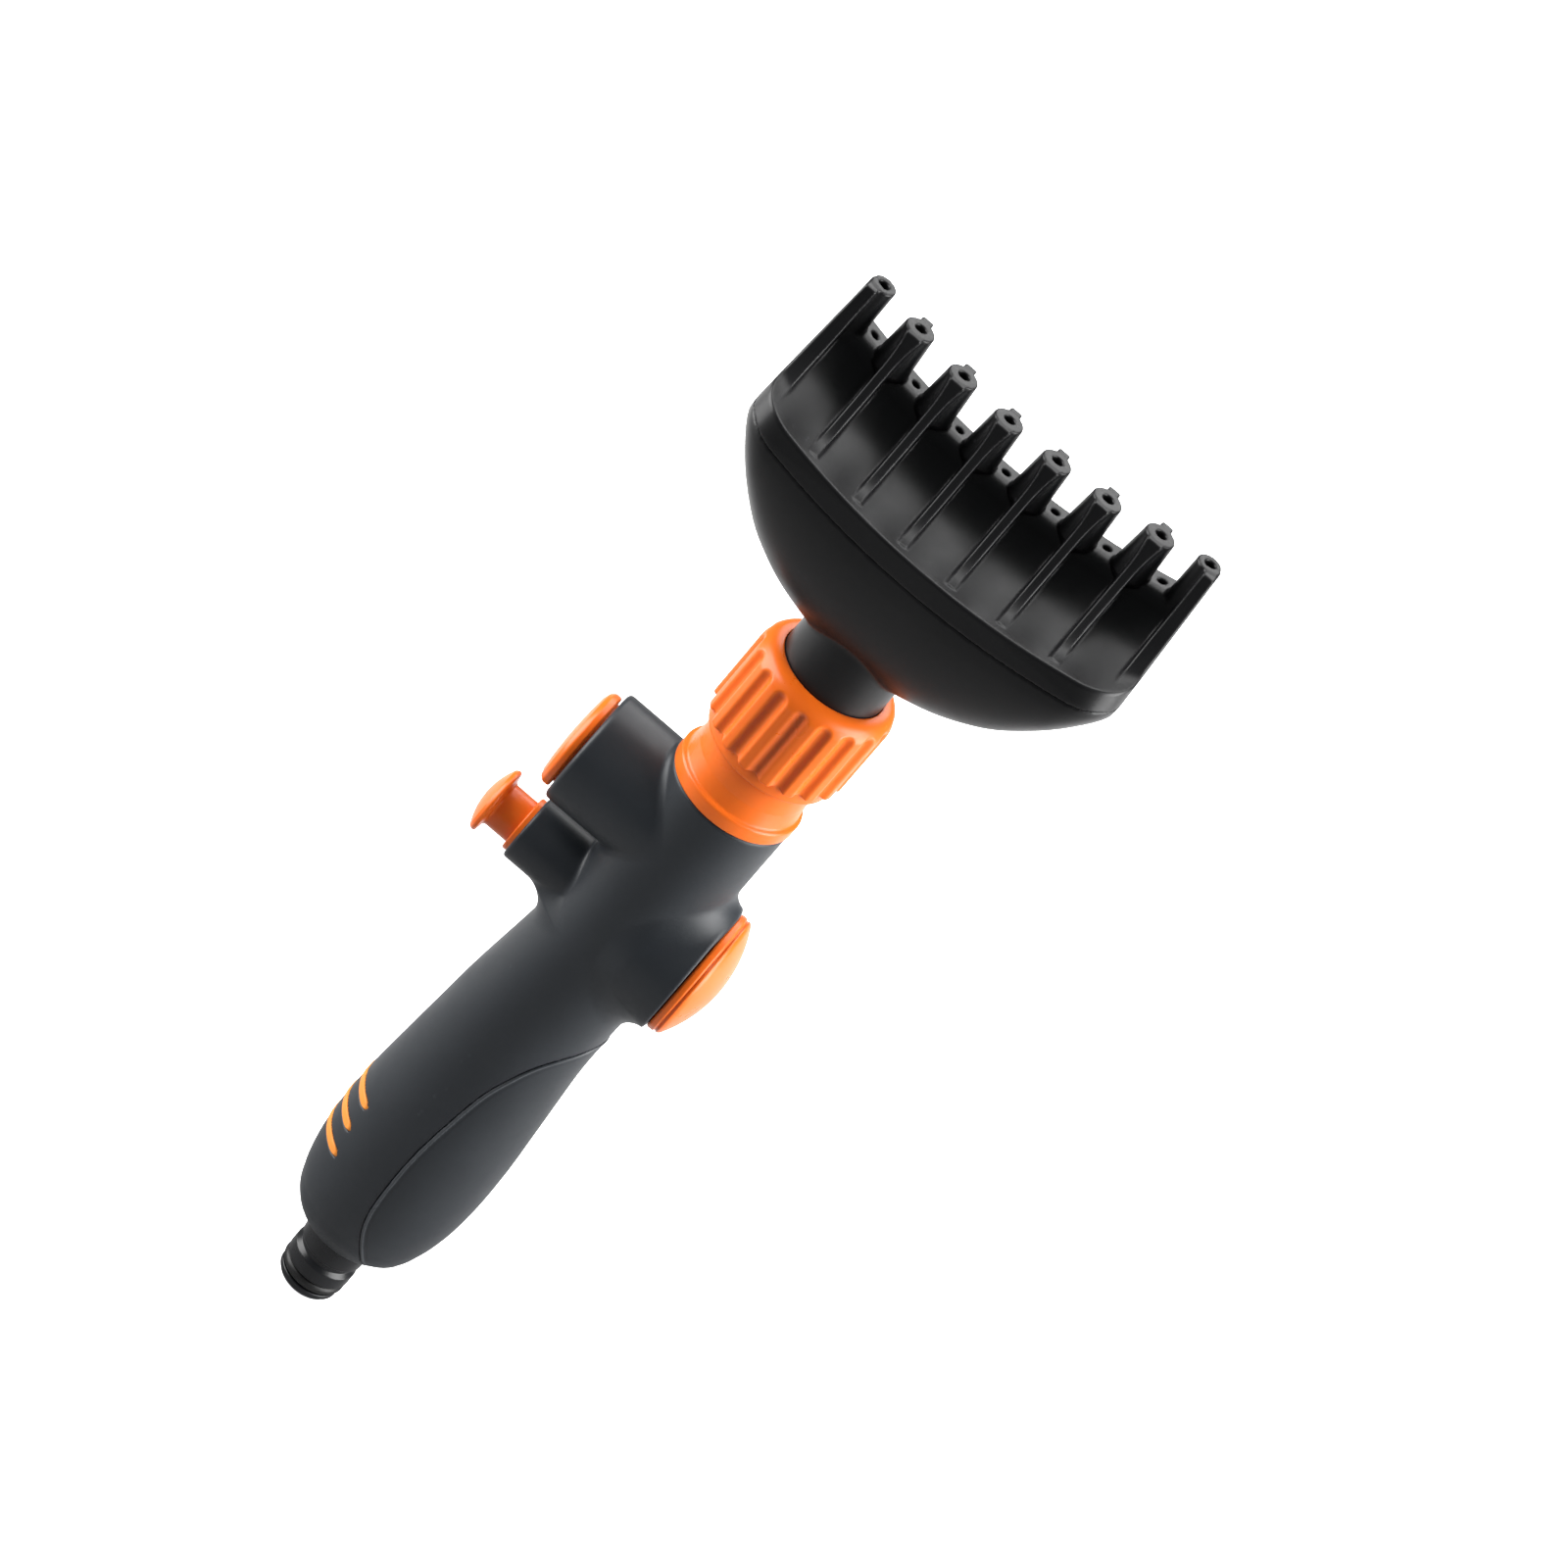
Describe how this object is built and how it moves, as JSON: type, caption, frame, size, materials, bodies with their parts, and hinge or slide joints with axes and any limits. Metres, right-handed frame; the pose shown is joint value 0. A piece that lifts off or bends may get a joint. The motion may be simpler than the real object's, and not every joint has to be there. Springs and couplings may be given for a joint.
{
  "type": "handheld bath sprayer",
  "caption": "Handheld pet bath sprayer: rake-shaped comb head with hollow teeth, fluted union nut, soft-touch grip with a push valve, soap boss and hose connector.",
  "frame": {"origin": "centre of the hose tail's end face, where the water enters", "axes": "+Z along the handle towards the comb, -Y the open concave face of the comb, +X towards the round dome button"},
  "size_m": [0.1096, 0.043, 0.3222],
  "materials": {
    "soft_touch": "soft-touch satin charcoal",
    "soft_pad": "soft-touch satin charcoal, a little darker",
    "orange_plastic": "glossy orange moulding",
    "black_gloss": "glossy black moulding",
    "head_plastic": "semi-gloss black moulding",
    "inner_plastic": "plain natural moulding",
    "seal_rubber": "satin seal rubber",
    "screw_steel": "plain steel"
  },
  "bodies": {
    "handle": {"handle_shell": "soft_touch", "palm_pad": "soft_pad", "grip_stripes": "orange_plastic", "hose_tail": "black_gloss", "tail_o_ring": "seal_rubber", "tail_washer": "seal_rubber", "inlet_tube": "inner_plastic", "valve_housing": "inner_plastic", "plunger_bush": "orange_plastic", "dome_guide": "black_gloss", "soap_chamber": "inner_plastic", "soap_feed_tube": "inner_plastic", "outlet_tube": "inner_plastic", "outlet_seal": "seal_rubber", "outlet_collar": "orange_plastic"},
    "soap_cap": {"soap_cap": "orange_plastic", "soap_cap_seal": "seal_rubber"},
    "valve": {"valve_spool": "inner_plastic", "spool_o_rings": "seal_rubber", "plunger_button": "orange_plastic", "dome_button": "orange_plastic", "dome_screw": "screw_steel"},
    "collar_nut": {"collar_nut": "orange_plastic", "slip_washer": "inner_plastic"},
    "head": {"head_bowl": "head_plastic", "comb_plate": "head_plastic", "head_gasket": "seal_rubber", "neck_o_ring": "seal_rubber", "flow_screen": "inner_plastic"}
  },
  "joints": [
    {"name": "valve_slide", "type": "slide", "parent": "handle", "child": "valve", "axis": [1, 0, 0], "range_m": [0, 0.0065]},
    {"name": "soap_cap_pull", "type": "slide", "parent": "handle", "child": "soap_cap", "axis": [-1, 0, 0], "range_m": [0, 0.03]},
    {"name": "nut_turn", "type": "hinge", "parent": "handle", "child": "collar_nut", "pos_m": [0.0022, 0, 0.225], "axis": [0, 0, 1], "range_deg": [0, 540]},
    {"name": "head_swivel", "type": "hinge", "parent": "handle", "child": "head", "pos_m": [0.0022, 0, 0.235], "axis": [0, 0, 1], "continuous": true}
  ]
}
